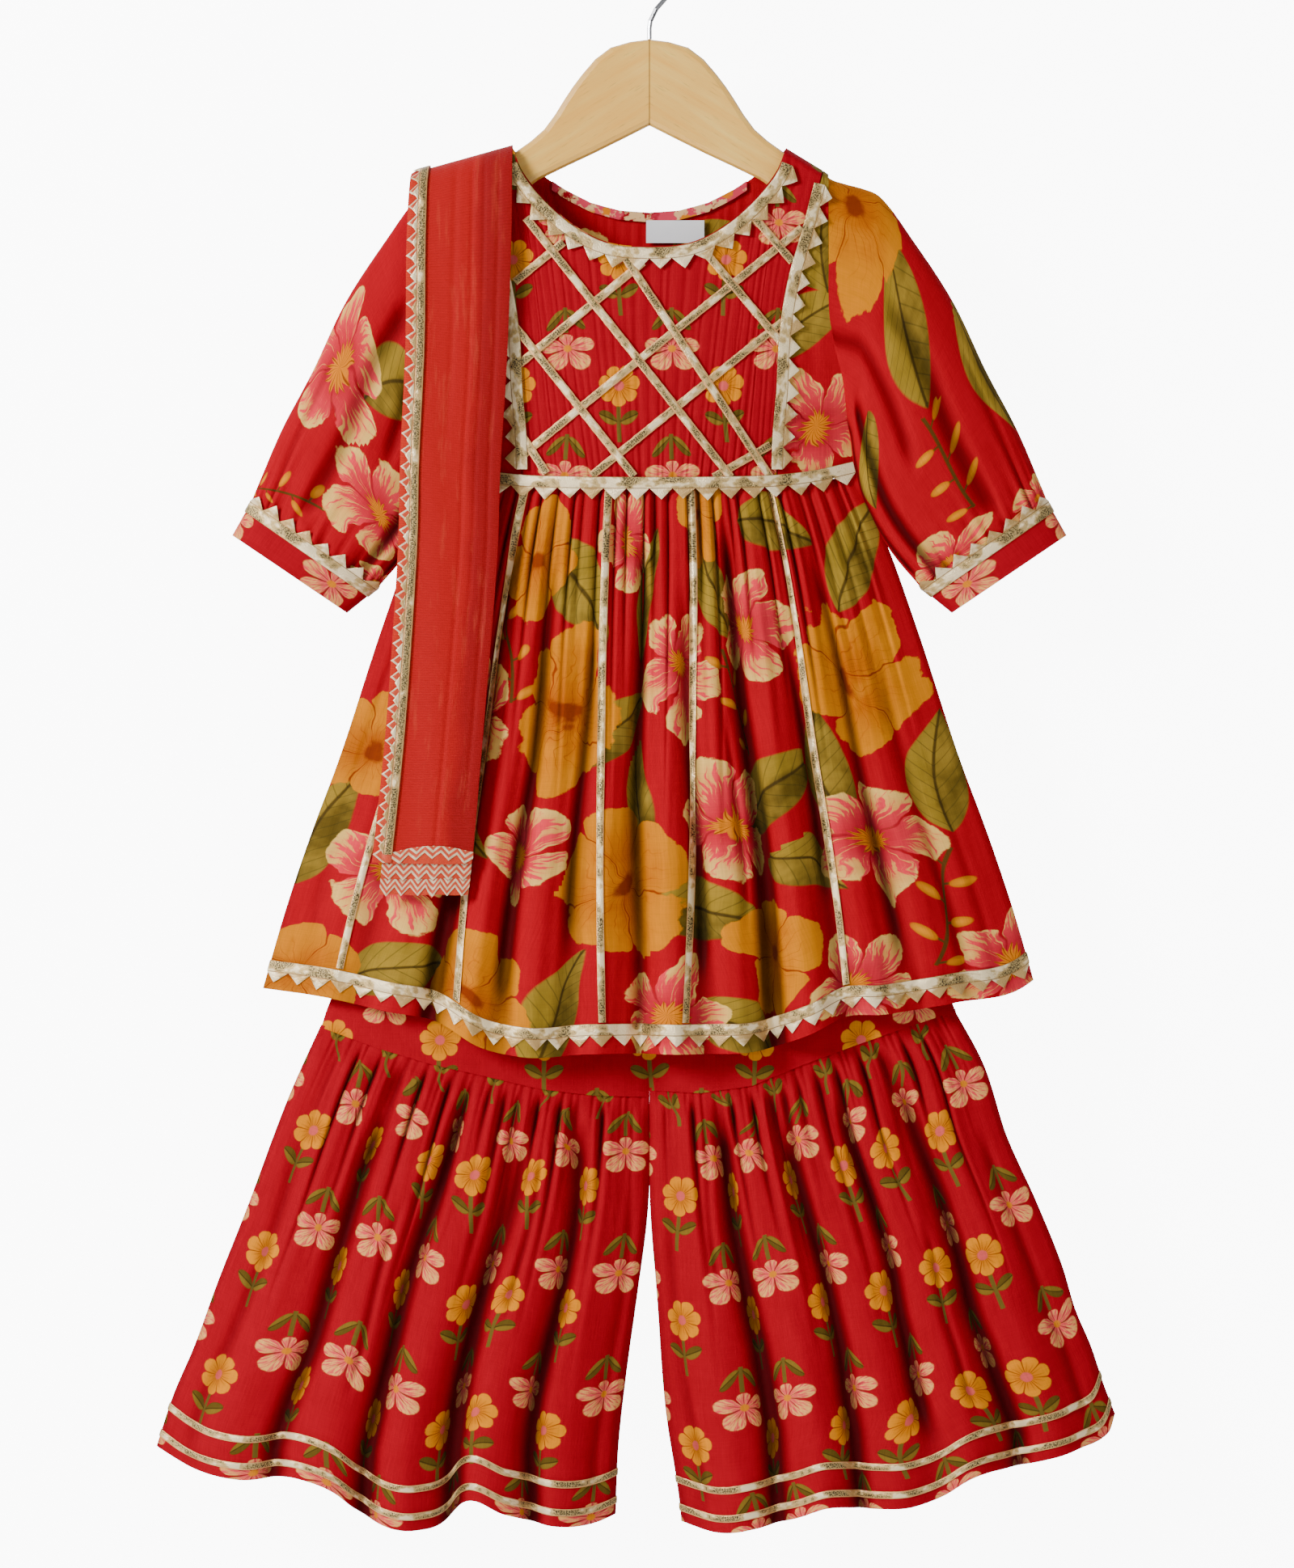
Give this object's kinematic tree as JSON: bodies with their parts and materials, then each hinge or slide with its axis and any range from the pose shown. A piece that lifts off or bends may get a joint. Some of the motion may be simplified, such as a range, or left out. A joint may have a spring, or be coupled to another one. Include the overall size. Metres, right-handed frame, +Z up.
{
  "type": "sharara suit on a hanger",
  "caption": "Child's kurta with folded net dupatta and flared sharara trousers, hanging on a wooden hanger with a wire hook.",
  "frame": {"origin": "inside top of the hook, where it rests on a rail", "axes": "+Z up, -Y the front of the garment, +X to the right of someone looking at the front"},
  "size_m": [0.5926, 0.0702, 0.994],
  "materials": {
    "bloom_cotton": "plain-woven cotton, deep red, large flower print",
    "sprig_cotton": "plain-woven cotton, deep red, small flower sprig print",
    "net": "soft polyester net, scarlet, folded in layers",
    "gota_lace": "woven metallic gota ribbon, pale gold",
    "label_satin": "blank white satin ribbon",
    "beech": "clear lacquered beech",
    "steel_wire": "chrome-plated steel wire"
  },
  "bodies": {
    "root": {"cuff_left": "sprig_cotton", "cuff_right": "sprig_cotton", "dupatta": "net", "flare_back_left": "sprig_cotton", "flare_back_right": "sprig_cotton", "flare_front_left": "sprig_cotton", "flare_front_right": "sprig_cotton", "gota_cuff_left": "gota_lace", "gota_cuff_right": "gota_lace", "gota_dupatta_edge": "gota_lace", "gota_hem_back": "gota_lace", "gota_hem_front": "gota_lace", "gota_neck": "gota_lace", "gota_waist": "gota_lace", "gota_yoke_left": "gota_lace", "gota_yoke_right": "gota_lace", "hanger_bar": "beech", "hanger_hook": "steel_wire", "neck_facing": "bloom_cotton", "neck_label": "label_satin", "sharara_waistband": "sprig_cotton", "skirt_back": "bloom_cotton", "skirt_front": "bloom_cotton", "sleeve_left": "bloom_cotton", "sleeve_right": "bloom_cotton", "tape_back_left_lower": "gota_lace", "tape_back_left_upper": "gota_lace", "tape_back_right_lower": "gota_lace", "tape_back_right_upper": "gota_lace", "tape_front_left_lower": "gota_lace", "tape_front_left_upper": "gota_lace", "tape_front_right_lower": "gota_lace", "tape_front_right_upper": "gota_lace", "tape_skirt_1": "gota_lace", "tape_skirt_2": "gota_lace", "tape_skirt_3": "gota_lace", "tape_skirt_4": "gota_lace", "tape_skirt_5": "gota_lace", "tape_trellis_down_1": "gota_lace", "tape_trellis_down_2": "gota_lace", "tape_trellis_down_3": "gota_lace", "tape_trellis_down_4": "gota_lace", "tape_trellis_down_5": "gota_lace", "tape_trellis_down_6": "gota_lace", "tape_trellis_up_1": "gota_lace", "tape_trellis_up_2": "gota_lace", "tape_trellis_up_3": "gota_lace", "tape_trellis_up_4": "gota_lace", "tape_trellis_up_5": "gota_lace", "upper_back_left": "sprig_cotton", "upper_back_right": "sprig_cotton", "upper_front_left": "sprig_cotton", "upper_front_right": "sprig_cotton", "yoke_back": "bloom_cotton", "yoke_front": "sprig_cotton", "yoke_side_left": "bloom_cotton", "yoke_side_right": "bloom_cotton", "gota_dupatta_foot_1": "gota_lace", "gota_dupatta_foot_2": "gota_lace", "gota_dupatta_foot_3": "gota_lace"}
  },
  "joints": []
}
